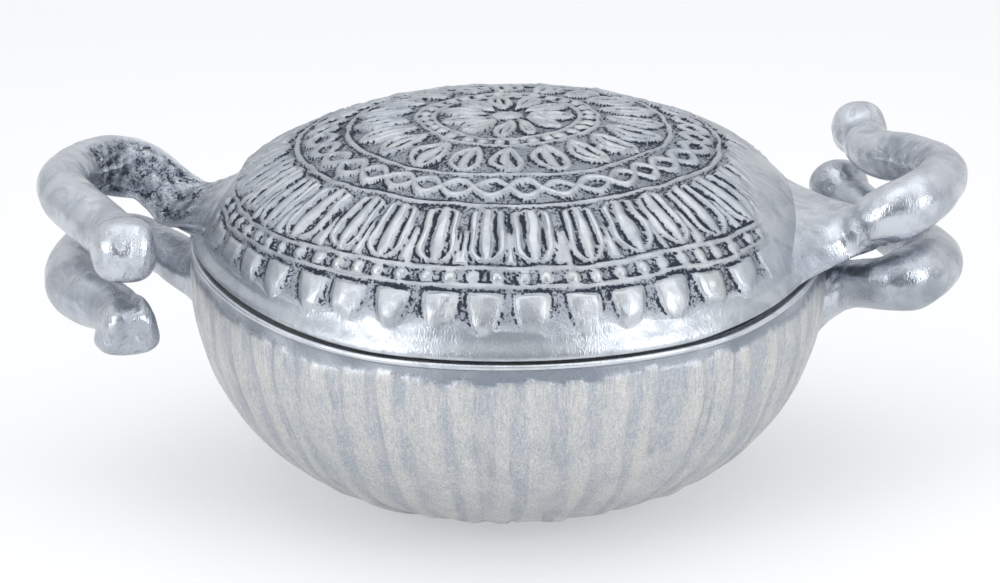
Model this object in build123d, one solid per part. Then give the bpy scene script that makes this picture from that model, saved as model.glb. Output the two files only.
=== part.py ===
# A cast aluminium casserole: a round bowl with a domed lid, and on each casting two arms that
# curl out from the rim like hooks and end in a ball. The rim is level round the front and the
# back and sweeps up to the arms at both ends, and the lid's edge follows it.
#
# Frame: +Z is up, and the origin is the middle of the flat foot that the bowl stands on. The arms
# lie along X. The left arms curl from the back to the front, and the right arms are the same arms
# after half a turn about Z. All sizes are in millimetres.
import os
from math import pi

from build123d import *

# Bowl
rim_radius = 120.0  # outside of the bowl at its rim
rim_height = 87.0  # top of the rim over the foot, where the rim is level
foot_radius = 46.0  # flat disc that the bowl stands on
belly_radius = 106.0  # outside of the bowl where the steep side turns into the round belly
belly_height = 36.0
bowl_wall = 4.5
bowl_floor = 5.0

# Sweep of the rim up to the arms
rim_sweep = 10.0  # how much higher the rim is at the arms
level_half_length = 50.0  # the rim is level this far to each side of the middle
sweep_turn = 5.0  # degrees that the sweep's line is turned from the arms' line, towards their tips

# Lid
lid_gap = 0.3  # air between the rim and the lid that lies on it
lid_inset = 1.0  # the lid's edge lies this far inside the bowl's
edge_thickness = 3.0  # the lid's edge, seen from the side
dome_height = 56.0  # top of the relief on the dome over the level rim
shoulder_radius = 68.0  # where the flat crown turns into the rounder shoulder
shoulder_height = 48.5
skirt_radius = 108.0  # where the shoulder turns into the steep skirt
skirt_height = 24.0
skirt_inset = 3.0  # foot of the skirt inside the lid's edge
lid_wall = 4.0  # from the top of the relief
lip_depth = 5.0  # lip under the lid that keeps it in the bowl's mouth, flush with the lid's inside
lip_clearance = 1.0

# Relief on the dome: rings of raised leaves and tongues between plain raised rings. Where a ring
# starts and ends is a share of the way down the dome from its middle.
relief_depth = 1.9  # ground of the relief under its top
apron_height = 11.0  # plain apron round the relief, over the rim
plain_rings = [(0, 0.045), (0.2, 0.24), (0.445, 0.55), (0.775, 0.815)]
leaf_rings = [(11, 0.06, 0.185), (20, 0.26, 0.42)]  # leaves in the ring, its start and its end
tongue_rings = [(34, 0.58, 0.755), (42, 0.83, 0.955)]  # tongues in the ring, its start and its end
motif_share = 0.42  # half width of a leaf or tongue, as a share of the way from one to the next

# Arms: each is a flat web that narrows into a bar, which swells, thins and ends in a ball
tip_radius = 11.4
right_bend = 0.93  # the right arms are bent in a little, and reach this share of the left ones
sections_per_bar = 20

# Web of an arm from inside the shell to the start of the bar: how far each oval section reaches
# past the rim, how far it lies to the back, how high it is over the rim's raised ends, half its
# width and half its height.
lid_web = [(-24, 8, -5, 30, 6), (-7, 17, 0.5, 22, 7), (5, 22, 6, 13, 8.5)]
bowl_web = [(-24, 4, -18, 25, 13), (-7, 10, -16.5, 17, 11.5), (5, 17, -15, 10.5, 9.5)]

# Way of the bar's middle from the web to the middle of the ball: reach past the rim, way to the
# back (to the front where negative), and height over the rim's raised ends.
lid_bar = [
    (19, 30, 13),
    (35, 24, 18.5),
    (46.5, 5, 22.5),
    (46, -14, 21.5),
    (33, -35, 17),
    (20.5, -54, 14.5),
    (17, -72.5, 17.5),
]
bowl_bar = [
    (15.5, 24, -14),
    (28, 28, -12.5),
    (39, 16.5, -11.5),
    (44.3, -2, -13),
    (42, -22, -14.5),
    (32, -38.5, -13.5),
    (21, -57, -11.5),
    (15, -72.5, -9.5),
]

# Thickness of the bar: how far along it (0 at the web, 1 at the ball), half its width and half
# its height.
lid_girth = [(0, 13, 8.5), (0.1, 10, 9.5), (0.27, 10, 11.5), (0.5, 9.3, 9.3), (0.72, 10, 10), (1, 8, 8)]
bowl_girth = [(0, 10.5, 9.5), (0.1, 9.5, 9.2), (0.25, 11.5, 11.8), (0.55, 11, 11), (0.78, 10, 10)]
bowl_girth.append((1, 8.5, 8.5))

beyond = 2 * rim_radius  # further out than any piece


def arcs_through(points, heading, inset):
    """Arcs that run on from one another through the points, drawn in to their right by inset."""
    arcs = []
    for start, end in zip(points, points[1:]):
        leaving = tuple(TangentArc(start, end, tangent=heading) % 1)
        inner_start = (start[0] + heading[1] * inset, start[1] - heading[0] * inset)
        inner_end = (end[0] + leaving[1] * inset, end[1] - leaving[0] * inset)
        arcs.append(TangentArc(inner_start, inner_end, tangent=heading))
        heading = leaving[:2]
    return arcs


def turned(arcs, *corners):
    """The solid of revolution about Z between the arcs and the corners that close their outline."""
    closing = Polyline(arcs[-1] @ 1, *corners, arcs[0] @ 0)
    return revolve(Plane.XZ * make_face(Curve() + [*arcs, closing]), Axis.Z)


def bowl_form(inset):
    """The bowl's round form drawn in by inset, with a straight column above the level rim."""
    points = [(rim_radius, rim_height), (belly_radius, belly_height), (foot_radius, 0)]
    arcs = arcs_through(points, (0, -1), inset)
    foot_level = (arcs[-1] @ 1).Y
    return turned(arcs, (0, foot_level), (0, beyond), (rim_radius - inset, beyond))


def dome_arcs(inset):
    """The way down the lid's round form drawn in by inset, from its middle to the level rim."""
    heights = [(0, dome_height), (shoulder_radius, shoulder_height), (skirt_radius, skirt_height)]
    heights.append((rim_radius - lid_inset - skirt_inset, 0))
    return arcs_through([(radius, rim_height + height) for radius, height in heights], (1, 0), inset)


def dome_outline(inset):
    """Half of the lid's round form drawn in by inset, with a straight column under the level rim."""
    arcs = dome_arcs(inset)
    closing = Polyline(arcs[-1] @ 1, ((arcs[-1] @ 1).X, 0), (0, 0), arcs[0] @ 0)
    return make_face(Curve() + [*arcs, closing])


def dome_form(inset):
    """The lid's round form drawn in by inset."""
    return revolve(Plane.XZ * dome_outline(inset), Axis.Z)


def above_rim(lift):
    """All that is above the rim's sweep, raised by lift."""
    low = rim_height + lift
    high = low + rim_sweep
    middle = Line((-level_half_length, low), (level_half_length, low))
    rise = TangentArc((level_half_length, low), (rim_radius, high), tangent=(1, 0))
    fall = mirror(rise, Plane.YZ)
    corners = [(beyond, high), (beyond, beyond), (-beyond, beyond), (-beyond, high)]
    outside = Polyline((rim_radius, high), *corners, (-rim_radius, high))
    face = Plane.XZ * make_face(Curve() + [middle, rise, outside, fall])
    return Rot(0, 0, sweep_turn) * extrude(face, beyond, both=True)


def below_rim(lift):
    """All that is below the rim's sweep, raised by lift."""
    return Box(2 * beyond, 2 * beyond, 2 * beyond) - above_rim(lift)


def plain_ring(start, end):
    """Outline of a raised ring round the dome between two shares of the way down it."""
    way = Wire(dome_arcs(0))
    corners = []
    for share, sides in ((start, (-1, 1)), (end, (1, -1))):
        across = (way % share).rotate(Axis.Z, 90) * 2 * relief_depth
        corners += [way @ share + across * side for side in sides]
    return make_face(Polyline(*corners, close=True)) & dome_outline(0)


def motif_ring(outline, count, start, end):
    """Posts of one outline that stand round the dome between two shares of the way down it."""
    way = Plane.XZ * Wire(dome_arcs(0))
    middle = (start + end) / 2
    spacing = 2 * pi * (way @ middle).X / count
    face = outline((end - start) / 2 * way.length, motif_share * spacing)
    place = Plane(way @ middle, x_dir=way % middle, z_dir=(way % middle).rotate(Axis.Y, -90))
    post = extrude(place * face, 3 * relief_depth, both=True)
    return [Rot(0, 0, step * 360 / count) * post for step in range(count)]


def leaf(half_length, half_width):
    """A leaf pointed at both ends."""
    side = ThreePointArc((-half_length, 0), (0, half_width), (half_length, 0))
    return make_face(Curve() + [side, mirror(side, Plane.XZ)])


def tongue(half_length, half_width):
    """A tongue with a square root and a round end."""
    root = Polyline(
        (half_length - half_width, half_width), (-half_length, half_width),
        (-half_length, -half_width), (half_length - half_width, -half_width)
    )
    return make_face(Curve() + [root, ThreePointArc(root @ 0, (half_length, 0), root @ 1)])


def girth_at(girth, share):
    """Half width and half height of a bar at a share of its length."""
    for (before, *here), (after, *there) in zip(girth, girth[1:]):
        if share <= after:
            part = (share - before) / (after - before)
            return [near + (far - near) * part for near, far in zip(here, there)]


def oval(middle, along, half_width, half_height):
    """An upright oval across the way along, with its width level."""
    return Plane(middle, x_dir=(-along.Y, along.X, 0), z_dir=along) * Ellipse(half_width, half_height)


def left_arm(web, bar, girth, bend):
    """The web, the bar that runs on from it, and the ball at the tip."""
    def place(reach, back, height):
        return Vector(-rim_radius - reach * bend, back, rim_height + rim_sweep + height)

    neck = place(*web[-1][:3])
    line = Spline(neck, *[place(*point) for point in bar])
    web_ovals = [oval(place(*section[:3]), neck - place(*web[0][:3]), *section[3:]) for section in web[:-1]]
    bar_ovals = []
    for step in range(sections_per_bar):
        share = step / (sections_per_bar - 1)
        bar_ovals.append(oval(line @ share, line % share, *girth_at(girth, share)))
    return loft(web_ovals + bar_ovals, ruled=True) + Pos(line @ 1) * Sphere(tip_radius)


bowl_cavity = bowl_form(bowl_wall) & Pos(0, 0, bowl_floor) * Box(
    beyond, beyond, beyond, align=(Align.CENTER, Align.CENTER, Align.MIN)
)
bowl_shell = (bowl_form(0) - bowl_cavity) & below_rim(0)

lid_edge = Cylinder(rim_radius - lid_inset, beyond) & below_rim(lid_gap + edge_thickness)
posts = []
for ring in leaf_rings:
    posts += motif_ring(leaf, *ring)
for ring in tongue_rings:
    posts += motif_ring(tongue, *ring)
relief = (below_rim(apron_height) + posts) & dome_form(0)
ground_outline = dome_outline(relief_depth) + [plain_ring(*ring) for ring in plain_rings]
ground = revolve(Plane.XZ * ground_outline, Axis.Z)
lid_form = ground + relief + lid_edge
lip = Cylinder(rim_radius - bowl_wall - lip_clearance, beyond) & below_rim(lid_gap + edge_thickness / 2)
lid_shell = (lid_form & above_rim(lid_gap)) + (lip & above_rim(lid_gap - lip_depth)) - dome_form(lid_wall)

nodes = {"bowl_shell": bowl_shell, "lid_shell": lid_shell}
for side, turn, bend in (("left", 0, 1), ("right", 180, right_bend)):
    bowl_arm = left_arm(bowl_web, bowl_bar, bowl_girth, bend) - bowl_form(0)
    lid_arm = (left_arm(lid_web, lid_bar, lid_girth, bend) - lid_form) & above_rim(lid_gap)
    nodes[f"bowl_arm_{side}"] = Rot(0, 0, turn) * bowl_arm
    nodes[f"lid_arm_{side}"] = Rot(0, 0, turn) * lid_arm

os.makedirs("parts", exist_ok=True)
for name, shape in nodes.items():
    export_step(shape, f"parts/{name}.step")
    print(name, "volume", round(shape.volume / 1000, 1), "cm3")
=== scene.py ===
# A cast aluminium casserole with a lid in relief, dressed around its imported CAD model.
# Lengths are in millimetres until a mesh is made, and the frame is the CAD model's.
import math

import bpy
import numpy as np
from mathutils import Matrix, Vector


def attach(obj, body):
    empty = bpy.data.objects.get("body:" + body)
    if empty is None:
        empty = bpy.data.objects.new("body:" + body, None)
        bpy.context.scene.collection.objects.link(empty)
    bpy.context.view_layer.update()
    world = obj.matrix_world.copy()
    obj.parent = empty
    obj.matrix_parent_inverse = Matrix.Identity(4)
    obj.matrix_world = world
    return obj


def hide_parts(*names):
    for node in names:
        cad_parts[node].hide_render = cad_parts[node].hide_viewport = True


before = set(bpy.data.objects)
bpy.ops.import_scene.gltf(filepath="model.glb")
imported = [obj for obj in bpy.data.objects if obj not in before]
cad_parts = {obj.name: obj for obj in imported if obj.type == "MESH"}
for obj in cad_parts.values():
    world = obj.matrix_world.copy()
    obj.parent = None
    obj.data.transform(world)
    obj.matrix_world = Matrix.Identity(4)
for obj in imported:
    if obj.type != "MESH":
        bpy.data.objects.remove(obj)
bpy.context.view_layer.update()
metre = 0.001
fullTurn = 2 * math.pi
up = np.array([0.0, 0.0, 1.0])

dish = {
    "rimRadius": 120.0,
    "rimHeight": 87.0,
    "rimSweep": 10.0,  # how much higher the rim is at the arms
    "levelHalf": 50.0,  # the rim is level this far to each side of the middle
    "sweepTurn": 5.0,  # degrees that the sweep's line is turned towards the tips of the arms
    "seam": 0.36,  # how far the lid's edge and the rim each draw back from the seam
    "openSeam": 0.6,  # and how much more at the right front, where the lid lies less close
    "leftSeam": 0.55,  # and at the left front
}


# Curves and surfaces as whole arrays

def ease(value, low, high):
    # 0 below low, 1 above high, and a smooth step between them
    share = np.clip((value - low) / (high - low), 0, 1)
    return share * share * (3 - 2 * share)


def ripple(points, wavelength, seed, waves=26):
    # sum of sine waves that run in random directions, mostly between -1 and 1; the wavelength is in
    # mm, and each use has a seed of its own
    draw = np.random.default_rng(seed)
    ways = draw.normal(size=(waves, 3))
    ways *= (fullTurn / wavelength * draw.uniform(0.6, 1.5, waves) / np.linalg.norm(ways, axis=1))[:, None]
    shape = points.shape[:-1]
    flat = points.reshape(-1, 3) @ ways.T + draw.uniform(0, fullTurn, waves)
    return (np.sin(flat).sum(1) / math.sqrt(waves * 2)).reshape(shape)


def splineThrough(knots, values, at):
    # natural cubic spline: its second derivatives at the knots solve one linear system
    knots, values = np.asarray(knots, float), np.asarray(values, float)
    gaps, count = np.diff(knots), len(knots)
    slopes = np.diff(values, axis=0) / gaps[:, None]
    inner = np.arange(1, count - 1)
    system, target = np.eye(count), np.zeros_like(values)
    system[inner, inner - 1], system[inner, inner + 1] = gaps[:-1], gaps[1:]
    system[inner, inner] = 2 * (gaps[:-1] + gaps[1:])
    target[inner] = 6 * np.diff(slopes, axis=0)
    bend = np.linalg.solve(system, target)
    span = np.clip(np.searchsorted(knots, at) - 1, 0, count - 2)
    ahead = ((at - knots[span]) / gaps[span])[:, None]
    behind = 1 - ahead
    sag = (behind ** 3 - behind) * bend[span] + (ahead ** 3 - ahead) * bend[span + 1]
    return behind * values[span] + ahead * values[span + 1] + sag * gaps[span][:, None] ** 2 / 6


def rimRise(theta, side=0):
    # an arc that leaves the level stretch of the rim flat and ends rimSweep higher; the lid's edge
    # (side 1) and the bowl's rim (side -1) draw back from it, mostly at the right front
    run = dish["rimRadius"] - dish["levelHalf"]
    arcRadius = (run ** 2 + dish["rimSweep"] ** 2) / (2 * dish["rimSweep"])
    across = dish["rimRadius"] * np.cos(theta - math.radians(dish["sweepTurn"]))
    past = np.clip(np.abs(across) - dish["levelHalf"], 0, run)
    degrees = np.degrees((theta + math.pi) % fullTurn - math.pi)
    parting = dish["seam"] + dish["openSeam"] * ease(degrees, -60, -46) * (1 - ease(degrees, -14, -4))
    parting += dish["leftSeam"] * ease(degrees, -178, -166) * (1 - ease(degrees, -145, -110))
    return arcRadius - np.sqrt(arcRadius ** 2 - past ** 2) + side * parting


def stitch(counts):
    # faces between rings of points in order; a ring holds 1 point, or as many as the last one, or
    # half or twice as many
    faces, start = [], 0
    for near, far in zip(counts, counts[1:]):
        a, b = start + np.arange(near), start + near + np.arange(far)
        if near == 1:
            rows = np.stack([np.full(far, start), b, np.roll(b, -1)], 1)
        elif far == 1:
            rows = np.stack([a, np.full(near, b[0]), np.roll(a, -1)], 1)
        elif near == far:
            rows = np.stack([a, b, np.roll(b, -1), np.roll(a, -1)], 1)
        elif far == 2 * near:
            rows = np.stack([a, b[::2], b[1::2], np.roll(b, -2)[::2], np.roll(a, -1)], 1)
        else:
            rows = np.stack([a[::2], b, np.roll(b, -1), np.roll(a, -2)[::2], a[1::2]], 1)
        faces += rows.tolist()
        start += near
    return faces


def makePiece(name, points, faces, masks, material, body, slotName, node):
    # a visible piece with its masks as point attributes, riding on a body in place of a CAD node
    mesh = bpy.data.meshes.new(name)
    mesh.from_pydata((points * metre).tolist(), [], faces)
    mesh.validate()
    for mask, values in masks.items():
        attribute = mesh.attributes.new(mask, "FLOAT", "POINT")
        attribute.data.foreach_set("value", values.astype(np.float32))
    mesh.polygons.foreach_set("use_smooth", np.ones(len(mesh.polygons), bool))
    mesh.materials.append(material)
    mesh.update()
    piece = bpy.data.objects.new(name, mesh)
    bpy.context.scene.collection.objects.link(piece)
    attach(piece, body)
    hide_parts(node)
    triangles = sum(len(face) - 2 for face in faces)
    print(f"{name}: {len(points)} points, {triangles} triangles")


# Finishes

def wire(tree, kind, inputs=(), **settings):
    # a node with its settings, and its inputs set or linked by name or number
    node = tree.nodes.new(kind)
    for key, value in settings.items():
        setattr(node, key, value)
    for key, value in dict(inputs).items():
        if isinstance(value, bpy.types.NodeSocket):
            tree.links.new(value, node.inputs[key])
        else:
            node.inputs[key].default_value = value
    return node


def calc(tree, operation, first, second=0.0, third=0.0, clamp=False):
    inputs = {0: first, 1: second}
    if operation == "MULTIPLY_ADD":
        inputs[2] = third
    return wire(tree, "ShaderNodeMath", inputs, operation=operation, use_clamp=clamp).outputs[0]


def between(tree, value, low, high, start=0.0, end=1.0):
    inputs = {"Value": value, "From Min": low, "From Max": high, "To Min": start, "To Max": end}
    return wire(tree, "ShaderNodeMapRange", inputs, interpolation_type="SMOOTHSTEP").outputs["Result"]


def blendColours(tree, share, first, second):
    mixer = wire(tree, "ShaderNodeMix", data_type="RGBA", clamp_factor=True)
    for socket, value in zip((mixer.inputs[0], mixer.inputs[6], mixer.inputs[7]), (share, first, second)):
        if isinstance(value, bpy.types.NodeSocket):
            tree.links.new(value, socket)
        else:
            socket.default_value = value
    return mixer.outputs[2]


def speckle(tree, vector, scale, detail=2.0, roughness=0.5, distortion=0.0):
    inputs = {
        "Vector": vector, "Scale": scale,
        "Detail": detail, "Roughness": roughness, "Distortion": distortion,
    }
    return wire(tree, "ShaderNodeTexNoise", inputs).outputs["Fac"]


def newGroup(name, numbers, results):
    # a node group that takes a vector and these numbers with their defaults, and gives these results
    group = bpy.data.node_groups.new(name, "ShaderNodeTree")
    group.interface.new_socket("Vector", in_out="INPUT", socket_type="NodeSocketVector")
    for label, value in numbers.items():
        socket = group.interface.new_socket(label, in_out="INPUT", socket_type="NodeSocketFloat")
        socket.default_value = value
    for label in results:
        group.interface.new_socket(label, in_out="OUTPUT", socket_type="NodeSocketFloat")
    return group, wire(group, "NodeGroupInput").outputs, wire(group, "NodeGroupOutput").inputs


textureScale = {
    "noise": 700.0,  # of noise with forms about 1 mm wide, divided by the size that is asked for
    "specks": 800.0,  # the same for the specks
    "lines": 1600.0,  # of the fine lines, under half a millimetre apart
    "dull": 75.0,  # of the dull patches, about 9 mm wide
}


def makeGrainGroup():
    # sand grain of a casting: fine height, and broad warm and cool clouds
    sizes = {"Grain Size mm": 0.8, "Cloud Size mm": 18.0}
    group, given, out = newGroup("castGrain", sizes, ("Grain", "Clouds"))
    fine = calc(group, "DIVIDE", textureScale["noise"], given["Grain Size mm"])
    broad = calc(group, "DIVIDE", textureScale["noise"], given["Cloud Size mm"])
    group.links.new(speckle(group, given["Vector"], fine, 3.0, 0.6), out["Grain"])
    clouds = speckle(group, given["Vector"], broad, 4.0, 0.62, 0.3)
    group.links.new(between(group, clouds, 0.34, 0.66), out["Clouds"])
    return group


def makePatinaGroup():
    # dark deposit that breaks into specks where its amount falls
    amounts = {"Amount": 0.0, "Speck Size mm": 1.1}
    group, given, out = newGroup("patina", amounts, ("Mask", "Pits"))
    size = calc(group, "DIVIDE", textureScale["specks"], given["Speck Size mm"])
    specks = speckle(group, given["Vector"], size, 3.0, 0.8, 0.3)
    level = calc(group, "SUBTRACT", 0.86, calc(group, "MULTIPLY", given["Amount"], 0.72))
    above = calc(group, "SUBTRACT", specks, level)
    mask = between(group, above, -0.04, 0.05)
    present = between(group, given["Amount"], 0.02, 0.12)
    group.links.new(calc(group, "MULTIPLY", mask, present), out["Mask"])
    group.links.new(calc(group, "MULTIPLY", specks, present), out["Pits"])
    return group


def makeHandworkGroup():
    # what filing and polishing by hand leave: soft facets, fine lines along the wear, and dull patches
    sizes = {"Facet Size mm": 6.0, "Line Length": 9.0}
    group, given, out = newGroup("handwork", sizes, ("Facets", "Lines", "Dull"))
    size = calc(group, "DIVIDE", textureScale["noise"], given["Facet Size mm"])
    facets = {"Vector": given["Vector"], "Scale": size, "Smoothness": 0.8}
    cells = wire(group, "ShaderNodeTexVoronoi", facets, feature="SMOOTH_F1")
    group.links.new(cells.outputs["Distance"], out["Facets"])
    apart = wire(group, "ShaderNodeSeparateXYZ", {0: given["Vector"]}).outputs
    flatter = calc(group, "DIVIDE", apart[2], given["Line Length"])
    stretched = {0: apart[0], 1: apart[1], 2: flatter}
    drawn = wire(group, "ShaderNodeCombineXYZ", stretched).outputs[0]
    group.links.new(speckle(group, drawn, textureScale["lines"], 2.0, 0.7), out["Lines"])
    dull = speckle(group, given["Vector"], textureScale["dull"], 4.0, 0.65, 0.6)
    group.links.new(between(group, dull, 0.42, 0.68), out["Dull"])
    return group


groups = {"grain": makeGrainGroup(), "patina": makePatinaGroup(), "handwork": makeHandworkGroup()}


def useGroup(tree, name, inputs):
    return wire(tree, "ShaderNodeGroup", inputs, node_tree=groups[name]).outputs


def makeMetal(name, look):
    # bare aluminium with its own share of grain, clouds, handwork and patina
    material = bpy.data.materials.new(name)
    material.use_nodes = True
    tree = material.node_tree
    tree.nodes.clear()
    place = wire(tree, "ShaderNodeTexCoord").outputs["Object"]
    amount, satin, shade, streak = [
        wire(tree, "ShaderNodeAttribute", attribute_name=mask).outputs["Fac"]
        for mask in ("patina", "satin", "shade", "streak")
    ]
    sizes = {"Grain Size mm": look["grainSize"], "Cloud Size mm": look["cloudSize"]}
    grain = useGroup(tree, "grain", {"Vector": place, **sizes})
    sizes = {"Facet Size mm": look["facetSize"], "Line Length": look["lineLength"]}
    work = useGroup(tree, "handwork", {"Vector": place, **sizes})
    sizes = {"Amount": amount, "Speck Size mm": look["speckSize"]}
    dark = useGroup(tree, "patina", {"Vector": place, **sizes})

    bright = blendColours(tree, work["Dull"], look["polished"], look["dulled"])
    lines = calc(tree, "SUBTRACT", work["Lines"], 0.5)
    drawn = calc(tree, "MULTIPLY_ADD", lines, look["drawnShare"], streak)
    clouds = calc(tree, "MULTIPLY", grain["Clouds"], 1 - look["streakShare"])
    warmth = calc(tree, "MULTIPLY_ADD", drawn, look["streakShare"], clouds)
    cast = blendColours(tree, warmth, look["cool"], look["warm"])
    sandy = between(tree, grain["Grain"], 0.35, 0.65, -0.5, 0.5)
    lighter = calc(tree, "MULTIPLY", sandy, look["sandShare"])
    cast = blendColours(tree, lighter, cast, look["glint"])
    darker = calc(tree, "MULTIPLY", sandy, -look["sandShare"])
    cast = blendColours(tree, darker, cast, look["shade"])
    colour = blendColours(tree, satin, bright, cast)
    colour = blendColours(tree, shade, colour, look["shade"])
    colour = blendColours(tree, dark["Mask"], colour, look["patina"])

    sheen = calc(tree, "MULTIPLY_ADD", work["Dull"], look["dullRoughness"], look["roughness"])
    castSheen = calc(tree, "MULTIPLY_ADD", grain["Clouds"], look["cloudRoughness"], look["castRoughness"])
    rough = wire(tree, "ShaderNodeMix", {0: satin, 2: sheen, 3: castSheen}).outputs[0]
    deposit = {0: dark["Mask"], 2: rough, 3: look["patinaRoughness"]}
    rough = wire(tree, "ShaderNodeMix", deposit).outputs[0]

    sandHeight = calc(tree, "MULTIPLY_ADD", satin, look["castGrain"], look["grainHeight"])
    sandHeight = calc(tree, "MULTIPLY", grain["Grain"], sandHeight)
    height = calc(tree, "MULTIPLY", work["Facets"], look["facetHeight"])
    height = calc(tree, "MULTIPLY_ADD", work["Lines"], look["lineHeight"], height)
    height = calc(tree, "ADD", height, sandHeight)
    height = calc(tree, "MULTIPLY_ADD", dark["Pits"], -look["pitDepth"], height)
    bump = wire(tree, "ShaderNodeBump", {"Height": height, "Strength": 1.0, "Distance": 1.0})
    surface = {"Base Color": colour, "Roughness": rough, "Metallic": 1.0, "Normal": bump.outputs["Normal"]}
    shader = wire(tree, "ShaderNodeBsdfPrincipled", surface)
    wire(tree, "ShaderNodeOutputMaterial", {"Surface": shader.outputs[0]})
    return material


# Sizes are in mm, heights in metres, and shares are of a blend between two colours. Each metal
# starts from this look and changes what its own dictionary names.
metalLook = {
    "polished": (0.66, 0.69, 0.73, 1), "dulled": (0.52, 0.55, 0.60, 1),
    "cool": (0.42, 0.46, 0.52, 1), "warm": (0.64, 0.635, 0.63, 1),
    "patina": (0.045, 0.055, 0.075, 1), "shade": (0.27, 0.30, 0.35, 1), "glint": (0.9, 0.92, 0.95, 1),
    "streakShare": 0.0, "drawnShare": 0.0, "sandShare": 0.3,
    "roughness": 0.30, "dullRoughness": 0.14, "castRoughness": 0.52,
    "cloudRoughness": -0.08, "patinaRoughness": 0.62,
    "grainSize": 0.8, "cloudSize": 18.0, "facetSize": 7.0, "lineLength": 9.0, "speckSize": 1.1,
    "facetHeight": 0.0003, "lineHeight": 0.00002, "grainHeight": 0.00003, "castGrain": 0.00010,
    "pitDepth": 0.0004,
}
reliefLook = {
    "polished": (0.55, 0.58, 0.62, 1), "dulled": (0.40, 0.43, 0.47, 1), "roughness": 0.31,
    "facetSize": 3.0, "facetHeight": 0.00014, "lineHeight": 0.00014, "speckSize": 0.9,
}
reliefMetal = makeMetal("reliefMetal", {**metalLook, **reliefLook})
bowlLook = {
    "cool": (0.42, 0.455, 0.51, 1), "warm": (0.655, 0.645, 0.625, 1), "grainSize": 0.5, "cloudSize": 9.0,
    "lineLength": 22.0, "streakShare": 0.7, "drawnShare": 3.6, "sandShare": 0.4,
    "facetHeight": 0.00004, "lineHeight": 0.00016,
}
bowlMetal = makeMetal("bowlMetal", {**metalLook, **bowlLook})
armLook = {
    "polished": (0.60, 0.63, 0.68, 1), "dulled": (0.44, 0.47, 0.52, 1), "shade": (0.17, 0.20, 0.25, 1),
    "facetSize": 3.6, "facetHeight": 0.00046, "lineHeight": 0.00018, "speckSize": 0.7, "roughness": 0.22,
}
armMetal = makeMetal("armMetal", {**metalLook, **armLook})
print("finishes made")


# Lid

lid = {
    "radius": 117.0, "height": 54.0,  # round form under the relief
    "widePower": 2.57, "tallPower": 2.01,
    "edgeRadius": 119.0, "edgeRoll": 8.0,  # height over which the apron runs out to the edge
    "sweepTo": 28.0,  # the rim's sweep dies out in the dome this far up
    "wall": 4.0, "lipRadius": 114.5, "lipDepth": 5.0,
    "reliefHeight": 1.9,
    "apron": (9.0, 15.0),  # the relief dies out between these distances from the edge
    "rootClear": {-1: (24.0, 34.0), 1: (40.0, 54.0)},  # and from the arms' roots, left and right
    "root": (119.0, 14.0, 8.0),  # a root's reach, way to the tip's side, height over the level rim
    "darkRoot": (-119.0, 12.0, 10.0),  # the left arm's root, where pits lie, and towards which painted shade darkens the lid
    "boss": 7.5,  # radius of the boss in the rosette
    "bridge": (118.9, 0.42),  # radius and height over the rim of a ring between the two sides
    "rowStep": 0.88, "edgeRows": 10,
    "columns": 720, "insideColumns": 180,
    "fewerWithin": (24.0, 56.0),  # radii within which a quarter and half of the columns will do
}
# Rings of traditional ornament: where each lies along the lid's outside from the apex, how many
# copies of its motif go round, and the seed of their small differences.
rings = {
    "rosette": {"span": (8.0, 26.0), "count": 11, "seed": 3},
    "innerBeads": {"middle": 31.0, "radius": 2.9, "count": 30, "seed": 5},
    "leaves": {"span": (36.5, 59.0), "count": 20, "seed": 7},
    "interlace": {"span": (62.0, 78.0), "count": 36, "seed": 11},
    "tongues": {"span": (81.5, 107.0), "count": 34, "seed": 13},
    "outerBeads": {"middle": 112.0, "radius": 3.0, "count": 78, "seed": 17},
    "pendants": {"span": (117.0, 133.0), "count": 42, "seed": 19},
}
plainLines = (27.6, 34.2, 60.4, 79.6, 108.4, 115.4)


def domeRadius(height, radius=lid["radius"], top=lid["height"]):
    share = np.clip(height / top, 0, 1)
    return radius * (1 - share ** lid["tallPower"]) ** (1 / lid["widePower"])


def domeProfile(radius, top):
    # radius, height and length from the apex of points close together down the round form
    turn = np.linspace(0, math.pi / 2, 3000)
    r = radius * np.sin(turn) ** (2 / lid["widePower"])
    h = top * np.cos(turn) ** (2 / lid["tallPower"])
    length = np.concatenate([[0], np.cumsum(np.hypot(np.diff(r), np.diff(h)))])
    return r, h, length


def sweptHeight(height, theta):
    # height over the level rim of a point that lies at this height where the rim is level
    share = np.clip(1 - height / lid["sweepTo"], 0, 1)
    return height + rimRise(theta, 1) * share ** 2


def lidOutside(height, theta):
    # radius of the lid's outer face without its relief, and height over the level rim
    real = sweptHeight(height, theta)
    out = (lid["edgeRadius"] - domeRadius(rimRise(theta))) * (1 - ease(height, 1.2, lid["edgeRoll"]))
    return domeRadius(real) + out, real


def roundTop(share, power=0.8):
    return np.clip(1 - share ** 2, 0, 1) ** power


def spacedOut(theta, radius, count, seed):
    # how far across its copy of a motif a point lies, in mm, the copy's spacing and its strength
    place = theta / fullTurn * count + 0.5
    index = np.floor(place).astype(int) % count
    draw = np.random.default_rng(seed)
    shift = draw.uniform(-0.06, 0.06, count)
    size = draw.uniform(0.9, 1.08, count)
    strength = draw.uniform(0.8, 1.0, count)
    spacing = fullTurn * radius / count
    return (place % 1 - 0.5 - shift[index]) * spacing, spacing * size[index], strength[index]


def outlined(across, width, line, core):
    # a form with a raised outline, as wide as two lines, and a raised core inside it
    outline = roundTop((np.abs(across) - width + line) / line) * np.clip(width / line, 0, 1)
    inner = roundTop(np.abs(across) / np.maximum(width * core, 0.05)) * 0.85 * (width > line)
    return np.maximum(outline, inner)


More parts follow.
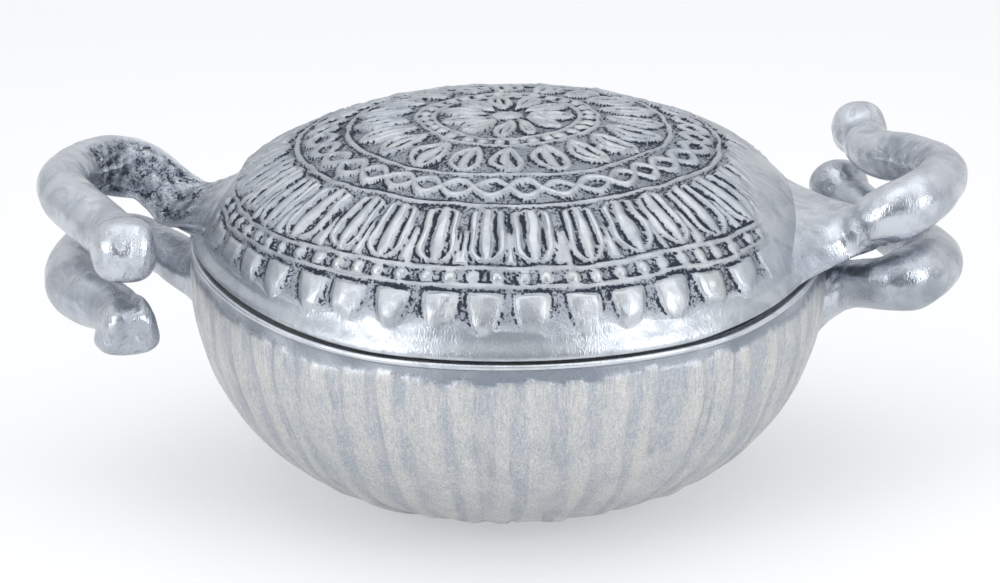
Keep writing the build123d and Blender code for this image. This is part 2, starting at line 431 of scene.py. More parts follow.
def reliefHeight(s, theta, radius):
    # share of the relief's height at this length from the apex, angle and radius
    radius = np.maximum(radius, 0.5)
    height = roundTop(s / lid["boss"])

    def raiseTo(form):
        np.maximum(height, form, out=height)

    def ring(name):
        # share of the way through a ring, whether a point is in it, and its place in the motif
        low, high = rings[name]["span"]
        along, inside = np.clip((s - low) / (high - low), 0, 1), (s > low) & (s < high)
        return along, inside, *spacedOut(theta, radius, rings[name]["count"], rings[name]["seed"])

    def raiseBeads(name):
        bead = rings[name]
        across, _, strength = spacedOut(theta, radius, bead["count"], bead["seed"])
        raiseTo(roundTop(np.hypot(across, s - bead["middle"]) / bead["radius"]) * strength)

    along, inside, across, spacing, strength = ring("rosette")
    width = 0.45 * spacing * np.clip(np.sin(math.pi * along ** 0.85), 0, 1) ** 0.6
    raiseTo(outlined(across, width, 1.4, 0.3) * strength * inside)

    raiseBeads("innerBeads")

    along, inside, across, spacing, strength = ring("leaves")
    lean = across + 2.6 * np.sin(math.pi * along) - 1.3
    width = 0.47 * spacing * np.clip(np.sin(math.pi * along), 0, 1) ** 0.7
    raiseTo(outlined(lean, width, 1.7, 0.36) * strength * inside)

    along, inside, across, spacing, strength = ring("interlace")
    middle = s - sum(rings["interlace"]["span"]) / 2
    wave = 4.6 * np.sin(theta * rings["interlace"]["count"] / 2)
    strands = np.maximum(roundTop((middle - wave) / 2.3), roundTop((middle + wave) / 2.3) * 0.85)
    raiseTo(np.maximum(strands, roundTop(np.hypot(across, middle) / 2.2) * 0.8) * inside)

    along, inside, across, spacing, strength = ring("tongues")
    ending = np.sqrt(np.clip(1 - np.clip((along - 0.70) / 0.29, 0, 1) ** 2, 0, 1))
    ending = ending * ease(along, -0.02, 0.10)
    width = 0.42 * spacing * ending
    tongue = outlined(across, width, 1.65, 0.34 + 0.10 * np.sin(math.pi * along))
    dart = roundTop((np.abs(across) - spacing / 2) / (1.2 + 1.5 * ease(along, 0.6, 1.0)))
    dart = dart * ease(along, 0.3, 0.6)
    raiseTo(np.maximum(tongue * strength, dart * 0.75) * inside)

    raiseBeads("outerBeads")

    along, inside, across, spacing, strength = ring("pendants")
    width = 0.42 * spacing * np.sqrt(np.clip(1 - along ** 2.2, 0, 1))
    pendant = roundTop(across / np.maximum(width, 0.05), 0.6)
    raiseTo(pendant * strength * inside * ease(along, 0.0, 0.14))

    for line in plainLines:
        raiseTo(0.62 * np.exp(-(((s - line) / 1.05) ** 2)))
    return height


def wavering(s, theta, radius):
    # the hand's wander: how far a point's place in the pattern is off the ruled one
    flat = np.stack([radius * np.cos(theta), radius * np.sin(theta), s * 0], -1)
    s = s + 1.5 * ripple(flat, 52, 41) + 0.55 * ripple(flat, 16, 42)
    return s, theta + (1.3 * ripple(flat, 40, 43) + 0.45 * ripple(flat, 13, 44)) / np.maximum(radius, 10)


def outsideOfLid():
    # points of the relief side row by row from the apex down, their masks, and each row's columns
    r, h, length = domeProfile(lid["radius"], lid["height"])
    total = length[-1]
    step = lid["rowStep"]
    at = np.arange(step, total - 6.0, step)
    at = np.concatenate([at, np.linspace(at[-1] + 0.7, total, lid["edgeRows"])])
    rowRadius, rowHeight = np.interp(at, length, r), np.interp(at, length, h)
    full, (quarterWithin, halfWithin) = lid["columns"], lid["fewerWithin"]
    columns = np.where(rowRadius < halfWithin, full // 2, full)
    columns = np.where(rowRadius < quarterWithin, full // 4, columns)
    theta = np.concatenate([np.arange(n) * fullTurn / n for n in columns])
    s, base = np.repeat(at, columns), np.repeat(rowHeight, columns)
    base = np.where(base < 1.5, 0.45 + base * 0.7, base)
    radius, real = lidOutside(base, theta)
    down = np.repeat(np.gradient(rowHeight, at), columns)
    level = np.repeat(np.gradient(rowRadius, at), columns)

    place, angle = wavering(s, theta, radius)
    flat = np.stack([radius * np.cos(theta), radius * np.sin(theta), real], -1)
    fade = ease(total - s + 3.0 * ripple(flat, 17, 51), *lid["apron"])
    for sign in (-1, 1):
        root = np.array(lid["root"]) * (sign, -sign, 1)
        away = np.linalg.norm((flat - root) * (1, 0.75, 1), axis=-1)
        fade *= ease(away + 3.0 * ripple(flat, 14, 52), *lid["rootClear"][sign])
    pattern = reliefHeight(place, angle, radius)
    shape = pattern * (0.9 + 0.2 * ripple(flat, 24, 53)) + 0.07 * ripple(flat, 5, 58)

    # dark deposit lies on the ground and at the foot of the walls, and in pits at the left root; painted
    # shade darkens the ground, the walls' feet and the lid's left side
    nearby = 0.55
    across = np.abs(reliefHeight(place, angle + nearby / np.maximum(radius, 2), radius) - pattern)
    along = np.abs(reliefHeight(place + nearby, angle, radius) - pattern)
    wall = np.clip(np.hypot(across / nearby, along / nearby) * 1.6, 0, 1)
    low = 1 - ease(pattern, 0.08, 0.5)
    fromRoot = np.linalg.norm((flat - lid["darkRoot"]) * (1, 0.8, 1), axis=-1)
    pitted = 0.42 * (1 - ease(fromRoot, 14, 34)) * ease(real, 7, 14)
    foot = wall * (1 - ease(pattern, 0.3, 0.7))
    patina = np.clip((0.40 * low + 0.48 * foot + 0.10 * ripple(flat, 12, 54) + 0.04) * fade, pitted, 0.9)
    # painted shade: the lid grows darker towards the left arm's root, standing in for the darker
    # reflection on that side
    paintedShade = np.clip(0.42 * (1 - ease(fromRoot, 20, 125)), 0.35 * pitted, 1)
    shade = np.clip((0.72 * low + 0.3 * foot) * fade, paintedShade, 1)

    rough = 0.10 * ripple(flat, 2.6, 55) + 0.05 * ripple(flat, 1.7, 56)
    soft = 0.06 * ripple(flat, 22, 57) * (1 - fade)
    lift = lid["reliefHeight"] * shape * fade + rough * patina * 1.4 + soft
    lift *= 1 - ease(-base, -2.5, -0.5)
    radius = radius - down * lift
    height = dish["rimHeight"] + (real + level * lift)
    outer = np.stack([radius * np.cos(theta), radius * np.sin(theta), height], -1)
    return outer, {"patina": patina, "shade": shade, "satin": 0.35 * fade}, columns


def insideOfLid():
    # points of the edge's underside, the lip and the plain inside, row by row up to the apex
    theta = np.arange(lid["insideColumns"]) * fullTurn / lid["insideColumns"]
    lipRadius, lipDepth = lid["lipRadius"], lid["lipDepth"]
    innerRadius, innerTop = lid["radius"] - lid["wall"] - 0.4, lid["height"] - lid["wall"]
    under = [(118.6, 0.36), (117.4, 0.3), (lipRadius + 0.3, 0.3), (lipRadius, 0.0)]
    under += [(lipRadius, -lipDepth + 0.6), (lipRadius - 0.5, -lipDepth)]
    under += [(innerRadius + 0.4, -lipDepth), (innerRadius, -lipDepth + 0.5), (innerRadius, -2.0)]
    r, h, length = domeProfile(innerRadius, innerTop)
    back = np.interp(np.linspace(length[-1], 0, 38)[1:-1], length, np.arange(len(length)))
    inner = np.stack([np.interp(back, np.arange(len(r)), r), np.interp(back, np.arange(len(h)), h)], 1)
    profile = np.concatenate([under, inner])
    radius, height = profile[:, :1], profile[:, 1:2]
    lifted = height + rimRise(theta, 1)
    heights = np.where(height > 0.3, sweptHeight(np.maximum(height, 0), theta), lifted)
    onDome = (height > 0.3) & (radius < innerRadius + 0.1)
    radii = np.where(onDome, domeRadius(heights, innerRadius, innerTop), radius)
    return np.stack([radii * np.cos(theta), radii * np.sin(theta), dish["rimHeight"] + heights], -1)


def buildLid():
    outer, masks, columns = outsideOfLid()
    inner = insideOfLid()
    apex = np.array([[0, 0, dish["rimHeight"] + lid["height"] + lid["reliefHeight"] * 0.95]])
    innerApex = np.array([[0, 0, dish["rimHeight"] + (lid["height"] - lid["wall"])]])
    half = lid["columns"] // 2
    theta = np.arange(half) * fullTurn / half
    radius, above = lid["bridge"]
    height = dish["rimHeight"] + rimRise(theta, 1) + above
    bridge = np.stack([radius * np.cos(theta), radius * np.sin(theta), height], -1)
    points = np.concatenate([apex, outer, bridge, inner.reshape(-1, 3), innerApex])
    counts = [1, *columns.tolist(), half, *([lid["insideColumns"]] * len(inner)), 1]
    quiet = np.zeros(len(points) - 1 - len(outer))
    ends = {"patina": ([0.1], quiet), "shade": ([0.0], quiet), "satin": ([0.0], quiet + 1)}
    for mask, (first, rest) in ends.items():
        masks[mask] = np.concatenate([first, masks[mask], rest])
    return points, stitch(counts), masks


makePiece("lidInRelief", *buildLid(), reliefMetal, "lid", "relief_casting", "lid_shell")
print("lid made")


# Bowl

bowl = {
    "profile": [  # radius and height of the outside from the foot to the rim's bead
        (46, 0), (57, 2.4), (68.7, 6.8), (83.8, 14.4), (93.5, 21.7), (100.6, 28.9), (106, 36.1),
        (110.2, 43.4), (113.5, 50.6), (116, 57.8), (117.8, 65.1), (119.0, 72.3), (119.5, 79.0),
        (119.6, 84.6),
    ],
    "beadFrom": 84.7,  # the rim's bead and its lip, above this height, rise with the rim as they are
    "bead": [(119.75, 85.3), (120, 85.9), (119.95, 86.5), (119.5, 86.9), (118.8, 87.0)],
    "lip": [(117.2, 87.0), (116.2, 86.9), (115.7, 86.5), (115.5, 85.8)],
    "bridgeRadius": 118.0,  # of a ring on the rim's top between the bead and the lip
    "footRadii": (12, 26, 38, 43.5),
    "sweepFrom": 30.0,  # the rim's sweep dies out down the wall at this height
    "wall": 4.5, "floor": 5.0,
    "fluteDepth": 1.0, "flutes": 54, "finerFlutes": 87, "finestFlutes": 143, "broadFlutes": 31,
    "band": 6.8,  # height of the polished band with the bead
    "rowStep": 1.6,
    "columns": 720,
    "insideColumns": 180,
}


def bowlProfile():
    points = np.array(bowl["profile"], float)
    knots = np.concatenate([[0], np.cumsum(np.linalg.norm(np.diff(points, axis=0), axis=1))])
    at = np.linspace(0, knots[-1], int(knots[-1] / bowl["rowStep"]))
    return splineThrough(knots, points, at)


outsideOfBowl = bowlProfile()


def sweepShare(height):
    # how much of the rim's sweep a point of the wall takes part in
    low = bowl["sweepFrom"]
    return np.clip((height - low) / (dish["rimHeight"] - low), 0, 1) ** 2


def bowlOutside(height, theta):
    # how much the swept rim widens the wall at a point, and the point's height over the table
    real = height + rimRise(theta, -1) * sweepShare(height)
    steady = np.interp(height, outsideOfBowl[:, 1], outsideOfBowl[:, 0])
    return np.interp(real, outsideOfBowl[:, 1], outsideOfBowl[:, 0]) - steady, real


def outsideOfFlutes():
    # points of the foot, the fluted wall and the bead, row by row, and their masks
    theta = np.arange(bowl["columns"]) * fullTurn / bowl["columns"]
    foot = [(radius, 0.0) for radius in bowl["footRadii"]]
    outer = np.concatenate([foot, outsideOfBowl, bowl["bead"]])
    level = outer[:, 1:2]
    onBead = level > bowl["beadFrom"]
    widen, real = bowlOutside(level + theta * 0, theta)
    rise = rimRise(theta, -1)
    real = np.where(onBead, level + rise, real)
    radius = outer[:, :1] + widen * ~onBead
    tangent = np.gradient(outer, axis=0)
    tangent /= np.linalg.norm(tangent, axis=1)[:, None]
    spot = np.stack([radius * np.cos(theta), radius * np.sin(theta), real], -1)

    # flutes of four widths that drift sideways, with a ragged upper end under the band
    drift = 1.5 * ripple(spot * (1, 1, 0.25), 42, 61) + 0.5 * ripple(spot * (1, 1, 0.4), 15, 62)
    wave = np.sin(theta * bowl["flutes"] + drift)
    wave = wave + 0.55 * np.sin(theta * bowl["finerFlutes"] + 1.4 * drift + 1.3)
    wave = wave + 0.35 + 0.5 * ripple(spot * (1, 1, 0.3), 26, 71)
    broad = np.tanh(3.2 * wave)
    edge = np.exp(-((wave / 0.22) ** 2)) * np.clip(0.4 + 0.9 * ripple(spot * (1, 1, 0.2), 18, 66), 0, 1)
    finest = np.sin(theta * bowl["finestFlutes"] + 2.0 * drift) * (0.4 + 0.6 * np.abs(np.cos(theta)))
    fromRim = dish["rimHeight"] + rise - real
    ragged = fromRim + 1.5 * ripple(spot, 24, 63) + 0.5 * broad + 0.3 * ripple(spot, 4, 67)
    below = ease(ragged, bowl["band"] - 0.7, bowl["band"] + 0.9)
    lower = ease(-level + theta * 0, -40, -10)
    strength = below * ease(outer[:, :1] + theta * 0, 50, 70) * (0.8 + 0.4 * ripple(spot, 30, 64))
    lift = bowl["fluteDepth"] * (0.36 * broad + 0.16 * finest) * (1 + 0.5 * lower) * strength
    lift += 0.55 * lower * strength * np.sin(theta * bowl["broadFlutes"] + 0.6 * drift)
    underBead = 0.5 * (1 - below) * ease(fromRim, 1.8, 3.2)
    lift += 0.07 * ripple(spot, 6, 65) * below - underBead - 0.14 * edge * strength
    onWall = (level > 0.5) & (level < bowl["beadFrom"])
    lift = np.minimum(lift, dish["rimRadius"] - 0.05 - radius) * onWall
    radius = radius + tangent[:, 1:2] * lift
    real = np.maximum(real - tangent[:, :1] * lift, 0)
    points = np.stack([radius * np.cos(theta), radius * np.sin(theta), real], -1)

    broadTone = 0.34 * broad * (0.8 + 0.4 * ripple(spot, 16, 68))
    fineTone = 0.16 * ripple(spot * (1, 1, 0.3), 7, 69)
    streak = np.clip(0.5 + broadTone + fineTone, 0, 1)
    # painted shade: a dark band under the rim, darkest at the front, stands in for a dark reflection
    # there; painted shade also lines the creases at the flutes' edges
    front = ease(-spot[..., 1], 84, 112) * ease(40 - np.abs(spot[..., 0] - 6), 0, 34)
    paintedBandShade = 0.74 + 0.6 * front + 0.25 * ripple(spot, 20, 70)
    shade = (1 - below) * ease(fromRim, 1.7, 2.5) * paintedBandShade + 0.5 * edge * strength
    return points, {"patina": 0.16 * shade, "satin": below, "shade": shade, "streak": streak}


def insideOfBowl():
    # points of the rim's top, the plain inside and the floor, row by row
    theta = np.arange(bowl["insideColumns"]) * fullTurn / bowl["insideColumns"]
    floor = bowl["floor"]
    inside = outsideOfBowl[::-1][3::2]
    drop = np.gradient(inside, axis=0)
    drop /= np.linalg.norm(drop, axis=1)[:, None]
    inside = inside + np.stack([drop[:, 1], -drop[:, 0]], 1) * bowl["wall"]
    inside = inside[(inside[:, 1] > floor + 0.8) & (inside[:, 1] < 84)]
    floorStart = inside[-1, 0]
    bottom = [(floorStart - 5, floor + 0.15)]
    bottom += [(radius, floor) for radius in (floorStart - 12, 40, 24, 10)]
    profile = np.concatenate([bowl["lip"], inside, bottom])
    radius, height = profile[:, :1], profile[:, 1:2]
    share = np.where(height > bowl["beadFrom"], 1, sweepShare(height))
    height = height + rimRise(theta, -1) * share
    return np.stack([radius * np.cos(theta), radius * np.sin(theta), height], -1)


def buildBowl():
    outer, masks = outsideOfFlutes()
    inner = insideOfBowl()
    half = bowl["columns"] // 2
    theta = np.arange(half) * fullTurn / half
    top = dish["rimHeight"] + rimRise(theta, -1)
    radius = bowl["bridgeRadius"]
    bridge = np.stack([radius * np.cos(theta), radius * np.sin(theta), top], -1)
    bottom, floor = [[0, 0, 0]], [[0, 0, bowl["floor"]]]
    points = np.concatenate([bottom, outer.reshape(-1, 3), bridge, inner.reshape(-1, 3), floor])
    counts = [1, *([bowl["columns"]] * len(outer)), half, *([bowl["insideColumns"]] * len(inner)), 1]
    faces = [face[::-1] for face in stitch(counts)]
    quiet = np.zeros(len(bridge) + len(inner.reshape(-1, 3)) + 1)
    ends = {"patina": (0, 0), "satin": (1, 0.8), "shade": (0, 0), "streak": (0.5, 0.5)}
    for mask, (first, rest) in ends.items():
        masks[mask] = np.concatenate([[first], masks[mask].reshape(-1), quiet + rest])
    return points, faces, masks


makePiece("flutedBowl", *buildBowl(), bowlMetal, "bowl", "satin_casting", "bowl_shell")
print("bowl made")


# Arms, all described as the left ones

# turn: 1 where the arm is turned half round to the right end
# stations: reach past the rim, way to the back, height over the level rim, half length and half
# thickness of the section, and how far its inner edge leans down, in degrees
# foot: the oval in which the arm meets the shell
# flare: how strongly the root leaves the shell and reaches the first station
# tip: the ball's radius, with how much wider it is below and all over, and how square it is
# neck: place and depth of the groove round the arm's root
# dark: the deposit and the painted shade in the hook, with the stretches where they set in and end
# tone: painted shade over the whole arm, strongest on the bowl's arms, for their darker reflection
arms = {
    "lidArmLeft": {
        "node": "lid_arm_left", "body": "lid", "turn": 0,
        "stations": [
            (6, 20, 16.2, 12.2, 4.8, 40), (13, 25, 21, 10.8, 5.4, 47), (20, 28, 25.4, 11.3, 6.4, 58),
            (28, 28.5, 27.2, 11.8, 7.5, 75), (36, 22.5, 29.7, 11.2, 8.5, 90), (43.5, 9, 30.7, 10, 9.5, 90),
            (46.3, -7, 31, 9.6, 9.6, 90), (42, -21, 29.5, 10, 10, 90), (32.6, -35.5, 27, 10, 10, 90),
            (24, -49, 25, 9.8, 9.8, 90), (16.5, -72, 26.5, 9.4, 9.4, 90),
        ],
        "foot": {"back": 10, "halfWide": 26, "low": 0.8, "high": 30, "tilt": -4}, "flare": (20, 12),
        "tip": 11.5, "tipSpread": 0.05, "tipWide": 1.0, "square": 2.5, "neck": (0, 0),
        "dark": 1.0, "darkFrom": (-18, -6), "darkTo": (46, 58), "paintedDarkening": 0.05,
    },
    "lidArmRight": {
        "node": "lid_arm_right", "body": "lid", "turn": 1,
        "stations": [
            (12, 23.5, 17.8, 12, 9, -12), (19, 28.5, 23.6, 11.6, 10.6, 20),
            (27, 28.5, 27.4, 11.6, 10.8, 60), (35, 20.5, 29.5, 10.6, 10, 80), (41, 8, 30.6, 9.6, 9.6, 90),
            (43.1, -6, 29.9, 9.4, 9.4, 90), (39.5, -21, 28.6, 9.6, 9.6, 90), (32, -35, 26.8, 9.7, 9.7, 90),
            (24.5, -49, 24.6, 9.5, 9.5, 90), (19.5, -73, 27.5, 8.8, 8.8, 90),
        ],
        "foot": {"back": 20, "halfWide": 48, "low": 0.8, "high": 25, "tilt": 8}, "flare": (28, 24),
        "tip": 10.6, "tipSpread": 0.0, "tipWide": 1.0, "square": 2.2, "neck": (4, 0.9),
        "dark": 0.5, "darkFrom": (40, 54), "darkTo": (88, 102), "paintedDarkening": 0.0,
    },
    "bowlArmLeft": {
        "node": "bowl_arm_left", "body": "bowl", "turn": 0,
        "stations": [
            (6, 17, -7, 10.5, 9.5, 0), (12, 22, -5, 9.4, 9.2, 0), (20, 27, -3.4, 10, 9.4, 45),
            (28, 27, -2.4, 11, 9.8, 80), (37.2, 18.5, -1.6, 11, 10.2, 90),
            (42.8, 6, -2.4, 10.8, 10.6, 90), (43.6, -8, -3.4, 10.8, 10.8, 90),
            (40.5, -24, -3.8, 11, 11, 90), (32.6, -38.6, -3.4, 10.4, 10.4, 90),
            (22.5, -54, -2, 9.2, 9.2, 90), (16.4, -71.4, -2, 9, 9, 90),
        ],
        "foot": {"back": 10, "halfWide": 24, "low": -26, "high": -3.5, "tilt": 0}, "flare": (16, 14),
        "tip": 9.5, "tipSpread": 0.2, "tipWide": 1.1, "square": 3.2, "neck": (0, 0),
        "dark": 0.3, "darkFrom": (-18, -6), "darkTo": (44, 56), "paintedDarkening": 0.3,
    },
    "bowlArmRight": {
        "node": "bowl_arm_right", "body": "bowl", "turn": 1,
        "stations": [
            (6, 17, -7, 10.5, 9.5, 0), (12, 21.5, -5, 9.4, 9.2, 0), (20, 26.5, -3.2, 10.6, 10.2, 45),
            (27, 26.5, -2, 12, 11.6, 80), (35, 18, -1.4, 11.6, 11.2, 90), (40, 5, -2.8, 11, 11, 90),
            (40.8, -8, -4.4, 11, 11, 90), (37, -24, -5, 10.6, 10.6, 90),
            (29.6, -38.8, -3.2, 10.2, 10.2, 90), (20.5, -54, -0.6, 9.6, 9.6, 90),
            (12.4, -73, 3.2, 9, 9, 90),
        ],
        "foot": {"back": 9, "halfWide": 25, "low": -33, "high": -3.5, "tilt": 0}, "flare": (18, 14),
        "tip": 11.2, "tipSpread": 0.0, "tipWide": 1.0, "square": 2.2, "neck": (3, 0.8),
        "dark": 0.1, "darkFrom": (-18, -6), "darkTo": (44, 56), "paintedDarkening": 0.35,
    },
}
armColumns = 96
flareRows = 23
sideRow = 30  # a row of the tube by which normals and faces are turned outwards


def onShell(body, aside, height):
    # point of a shell's left end, this far round it to the back and this high over the level rim
    theta = math.pi - aside / dish["rimRadius"]
    if body == "lid":
        radius, real = lidOutside(height, theta)
    else:
        extra, real = bowlOutside(dish["rimHeight"] + height, theta)
        radius = np.interp(dish["rimHeight"] + height, outsideOfBowl[:, 1], outsideOfBowl[:, 0]) + extra
        real = real - dish["rimHeight"]
    return np.stack([radius * np.cos(theta), radius * np.sin(theta), real], -1)


def unit(vectors):
    return vectors / np.linalg.norm(vectors, axis=-1, keepdims=True)


def sweptTube(values, turn):
    # an oval carried along a spline, with a ball at its end: its rows and their places along the
    # spline, the spline's length, and the rows' centres and the ways that they face
    stations = np.array(values["stations"], float)
    centres = stations[:, :3] * (-1, 1, 1) - (dish["rimRadius"], 0, 0)
    knots = np.concatenate([[0], np.cumsum(np.linalg.norm(np.diff(centres, axis=0), axis=1))])
    length, tip, square = knots[-1], values["tip"], values["square"]
    ball = np.linspace(math.pi / 2, 0, 13)[1:-1]
    at = np.concatenate([np.arange(0, length, 1.0), [length], length + tip * np.cos(ball)])
    data = splineThrough(knots, np.concatenate([centres, stations[:, 3:]], 1), np.minimum(at, length))
    centre, halfLong, halfShort = data[:, :3], data[:, 3:4], data[:, 4:5]
    lean = np.radians(data[:, 5:6])
    ahead = unit(np.gradient(splineThrough(knots, centres, np.minimum(at, length - 0.5)), at, axis=0))
    last = np.argmax(at >= length - 1.5)
    ahead[last:] = ahead[last]
    centre = centre + ahead * np.maximum(at - length, 0)[:, None]
    inward = unit(np.cross(up, ahead))
    upward = np.cross(ahead, inward)
    longWay = inward * np.cos(lean) - upward * np.sin(lean)
    shortWay = inward * np.sin(lean) + upward * np.cos(lean)

    away = (at - length)[:, None]
    sphere = tip * np.clip(1 - (np.abs(away) / tip) ** square, 0, None) ** (1 / square)
    taper = np.where(away > 0, 0, 1 - 0.25 * ease(away, -tip * 1.2, 0))
    halfLong = ((halfLong * taper) ** 6 + sphere ** 6) ** (1 / 6)
    halfShort = ((halfShort * taper) ** 6 + sphere ** 6) ** (1 / 6)
    power = 2 / (2 + (square - 2) * ease(away, -14, 0))
    cosine, sine = [np.sign(wave) * np.abs(wave) ** power for wave in (np.cos(turn), np.sin(turn))]
    wide = longWay[:, None] * (halfLong * cosine)[..., None]
    tall = shortWay[:, None] * (halfShort * sine)[..., None]
    return centre[:, None] + wide + tall, at, length, centre, ahead


def flareToTube(values, turn, first, ahead):
    # rows that leave the shell along its face and run into the tube's first row
    foot, body = values["foot"], values["body"]
    aside = foot["back"] - foot["halfWide"] * np.cos(turn)
    middle = (foot["low"] + foot["high"]) / 2
    tall = (foot["high"] - foot["low"]) / 2
    height = np.maximum(middle + tall * np.sin(turn) + foot["tilt"] * np.cos(turn), foot["low"])
    start = onShell(body, aside, height)
    heart = onShell(body, np.array([foot["back"]]), np.array([middle]))
    across = onShell(body, aside + 0.5, height) - start
    upward = onShell(body, aside, height + 0.5) - start
    out = unit(np.cross(upward, across))
    out *= np.sign((out * (start * (1, 1, 0))).sum(-1, keepdims=True))
    toHeart = heart - start
    along = unit(toHeart - (toHeart * out).sum(-1, keepdims=True) * out)
    if body == "lid":
        straight = unit(start * (1, 1, 0)) + up * 0.35
        share = ease(-np.sin(turn), 0.35, 0.9)[:, None]
        along = unit(along * (1 - share) + straight * share)
    start = start - out * 0.5
    pull, push = values["flare"]
    pulled = along * pull * np.linalg.norm(toHeart, axis=-1, keepdims=True) / foot["halfWide"]
    w = np.linspace(0, 1, flareRows + 1)[:-1, None, None]
    fromStart, leaving = 2 * w ** 3 - 3 * w ** 2 + 1, w ** 3 - 2 * w ** 2 + w
    toFirst, arriving = -2 * w ** 3 + 3 * w ** 2, w ** 3 - w ** 2
    return fromStart * start + leaving * pulled + toFirst * first + arriving * ahead * push


def buildArm(values):
    turn = np.arange(armColumns) * fullTurn / armColumns
    tube, at, length, centre, ahead = sweptTube(values, turn)
    rows = np.concatenate([flareToTube(values, turn, tube[0], ahead[0]), tube])
    way = np.concatenate([np.linspace(-20, 0, flareRows + 1)[:-1], at])[:, None]
    normals = unit(np.cross(np.gradient(rows, axis=0), np.roll(rows, -1, 1) - np.roll(rows, 1, 1)))
    if (normals[sideRow] * (rows[sideRow] - rows[sideRow].mean(0))).sum() < 0:
        normals = -normals

    # lumps and a ledge in the dark hollow of the hook, a groove at the neck, and an uneven ball
    top = ease(np.sin(turn), 0.1, 0.6)
    dark = values["dark"] * top * ease(way, *values["darkFrom"]) * (1 - ease(way, *values["darkTo"]))
    ledge = np.exp(-(((np.cos(turn) + 0.1 * ripple(rows, 18, 86)) / 0.09) ** 2))
    ledge = dark * ease(way, 20, 28) * ledge
    lumps = 0.7 * ripple(rows * (1, 1, 0.6), 5.2, 73) + 0.5 * ripple(rows, 2.6, 87)
    bumps = 0.22 * ripple(rows, 15, 71) + 0.06 * ripple(rows, 6, 72)
    atTip = ease(way, length - 16, length - 4)
    bumps += atTip * (0.3 * ripple(rows, 11, 76) - 0.5 * np.clip(ripple(rows, 5, 77) - 1.1, 0, 1))
    neckAt, neckDepth = values["neck"]
    neck = neckDepth * np.exp(-(((way - neckAt + 1.5 * ripple(rows, 14, 78)) / 2.2) ** 2))
    bumps -= neck * (0.75 + 0.6 * ripple(rows, 4, 79))
    hollow = dark * (0.75 - 0.7 * lumps + 0.25 * ripple(rows, 2.2, 74))
    bumps = bumps * ease(way, -20, -8) - hollow + 0.9 * ledge
    rows = rows + normals * bumps[..., None]
    tip, last = values["tip"], centre[-1]
    widen = values["tipWide"] - 1 - values["tipSpread"] * (rows[..., 2] - last[2]) / tip
    spread = 1 + widen * ease(way, length - 11, length - 2)
    rows[..., 0] = last[0] + (rows[..., 0] - last[0]) * spread
    end = last + ahead[-1] * (length + tip - at[-1])

    points = np.concatenate([rows.reshape(-1, 3), end[None]]) + (0, 0, dish["rimHeight"])
    if values["turn"]:
        points = points * (-1, -1, 1)
    faces = stitch([armColumns] * len(rows) + [1])
    faces.append(list(range(armColumns)))
    corner = rows[sideRow, 0]
    facing = np.cross(rows[sideRow + 1, 0] - corner, rows[sideRow, 1] - corner)
    if (facing * normals[sideRow, 0]).sum() < 0:
        faces = [face[::-1] for face in faces]
    faces[-1] = faces[-1][::-1]

    inGroove = np.clip(neck, 0, 1) * np.clip(0.6 + ripple(rows, 7, 81), 0, 1)
    pitted = 0.17 * np.clip(ripple(rows, 12, 80) - 0.5, 0, 1) + 0.3 * inGroove
    pitted += 0.26 * atTip * np.clip(ripple(rows, 7, 85) - 0.1, 0, 1)
    deposit = dark * (0.42 - 0.13 * lumps + 0.12 * ripple(rows, 8, 75)) - 0.5 * ledge
    patina = np.clip(deposit, pitted, 0.85)
    # painted shade laid over the whole arm, standing in for a darker reflection
    paintedDarkening = values["paintedDarkening"] * (0.8 + 0.7 * ripple(rows, 22, 83))
    # painted shade in the hook's hollow: darker between the lumps, lighter on their peaks and on the ledge
    paintedShade = dark * (0.56 - 0.42 * lumps + 0.15 * ripple(rows, 10, 82)) - 0.5 * ledge
    shade = np.clip(paintedShade, paintedDarkening, 1)
    masks = {"patina": np.append(patina.reshape(-1), 0), "satin": np.zeros(len(points))}
    masks["shade"] = np.append(shade.reshape(-1), paintedDarkening[-1, 0])
    return points, faces, masks


for name, values in arms.items():
    makePiece(name, *buildArm(values), armMetal, values["body"], "polished_arm", values["node"])
print("arms made")


# Floor, light and camera

stage = {
    "target": (-3.4, 0.0, 72.29), "distance": 1200.0, "elevation": 19.0, "roll": -0.4, "lens": 113.76,
    "floorHalf": 4000.0, "floorColour": (0.93, 0.935, 0.94, 1),
    "floorGlow": 0.39,  # share of the floor's white that doesn't depend on light: its shadow stays pale
    "dim": (0.27, 0.29, 0.32, 1), "white": (0.91, 0.92, 0.93, 1),
    "lamps": {  # place, what it points at, width and height, and power
        "softboxLeft": ((-850, -780, 460), (0, 0, 90), (400, 740), 4.1),
        "softboxRight": ((850, -750, 460), (0, 0, 90), (400, 740), 4.0),
        "softboxTop": ((0, -150, 1200), (0, 0, 80), (1500, 1300), 4.6),
    },
}


def makeFloor():
    half = stage["floorHalf"]
    mesh = bpy.data.meshes.new("floor")
    corners = np.array([(-half, -half, 0), (half, -half, 0), (half, half, 0), (-half, half, 0)]) * metre
    mesh.from_pydata(corners.tolist(), [], [(0, 1, 2, 3)])
    floor = bpy.data.objects.new("floor", mesh)
    bpy.context.scene.collection.objects.link(floor)
    material = bpy.data.materials.new("paleFloor")
    material.use_nodes = True
    tree = material.node_tree
    tree.nodes.clear()
    rays = wire(tree, "ShaderNodeLightPath").outputs
    seen = calc(tree, "MAXIMUM", rays["Is Camera Ray"], rays["Is Glossy Ray"])
    seen = calc(tree, "MAXIMUM", seen, rays["Is Transmission Ray"])
    plain = wire(tree, "ShaderNodeBsdfDiffuse", {"Color": stage["floorColour"]}).outputs[0]
    white = wire(tree, "ShaderNodeEmission", {"Color": stage["floorColour"], "Strength": 1.0}).outputs[0]
    share = calc(tree, "MULTIPLY", seen, stage["floorGlow"])
    mixed = wire(tree, "ShaderNodeMixShader", {0: share, 1: plain, 2: white}).outputs[0]
    wire(tree, "ShaderNodeOutputMaterial", {"Surface": mixed})
    mesh.materials.append(material)


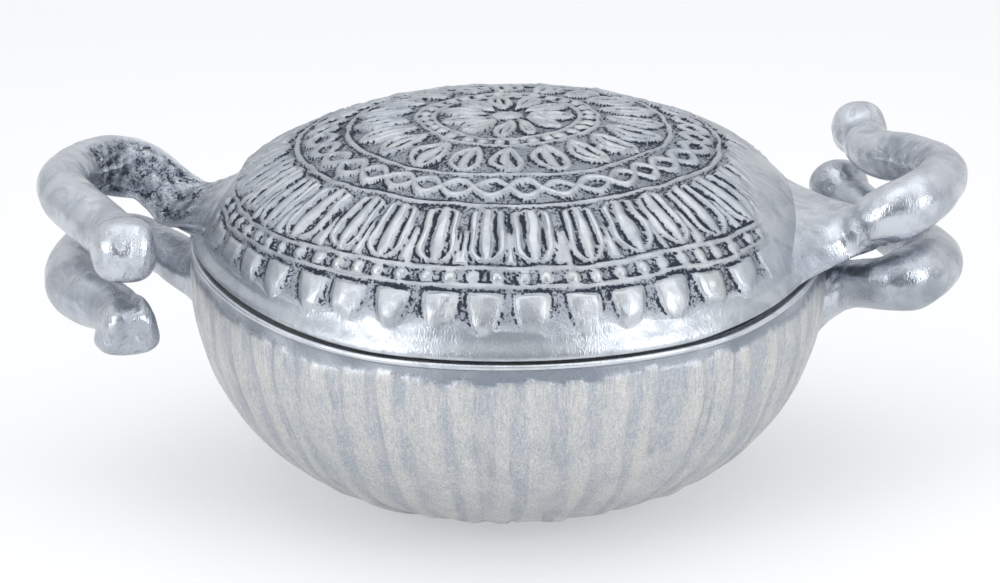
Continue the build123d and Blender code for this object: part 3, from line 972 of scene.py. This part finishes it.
def makeWorld():
    # white above and behind, greyer towards the camera's side and down
    world = bpy.data.worlds.new("studio")
    bpy.context.scene.world = world
    world.use_nodes = True
    tree = world.node_tree
    tree.nodes.clear()
    way = wire(tree, "ShaderNodeTexCoord").outputs["Generated"]
    apart = wire(tree, "ShaderNodeSeparateXYZ", {0: way}).outputs
    high = between(tree, apart[2], 0.0, 0.8)
    behind = between(tree, apart[1], -0.85, 0.3)
    share = calc(tree, "MULTIPLY_ADD", behind, 0.75, calc(tree, "MULTIPLY", high, 0.6), clamp=True)
    colour = blendColours(tree, share, stage["dim"], stage["white"])
    background = wire(tree, "ShaderNodeBackground", {"Color": colour, "Strength": 1.0}).outputs[0]
    wire(tree, "ShaderNodeOutputWorld", {"Surface": background})


def makeLamp(name, place, aim, size, power):
    data = bpy.data.lights.new(name, "AREA")
    data.shape = "RECTANGLE"
    data.size, data.size_y = size[0] * metre, size[1] * metre
    data.energy = power
    lamp = bpy.data.objects.new(name, data)
    way = (Vector(aim) - Vector(place)).normalized()
    turned = way.to_track_quat("-Z", "Y").to_matrix().to_4x4()
    lamp.matrix_world = Matrix.Translation(Vector(place) * metre) @ turned
    bpy.context.scene.collection.objects.link(lamp)


def makeCamera():
    elevation, roll = math.radians(stage["elevation"]), math.radians(stage["roll"])
    back = Vector((0, -math.cos(elevation), math.sin(elevation)))
    right, top = Vector((1, 0, 0)), Vector((0, math.sin(elevation), math.cos(elevation)))
    rolledRight = right * math.cos(roll) + top * math.sin(roll)
    rolledTop = top * math.cos(roll) - right * math.sin(roll)
    place = (Vector(stage["target"]) + back * stage["distance"]) * metre
    data = bpy.data.cameras.new("camera")
    data.lens, data.sensor_width, data.clip_end = stage["lens"], 36.0, 50.0
    camera = bpy.data.objects.new("camera", data)
    turned = Matrix((rolledRight, rolledTop, back)).transposed().to_4x4()
    camera.matrix_world = Matrix.Translation(place) @ turned
    bpy.context.scene.collection.objects.link(camera)
    bpy.context.scene.camera = camera


makeFloor()
makeWorld()
for name, lamp in stage["lamps"].items():
    makeLamp(name, *lamp)
makeCamera()
bpy.context.scene.view_settings.view_transform = "Standard"
print("stage made")
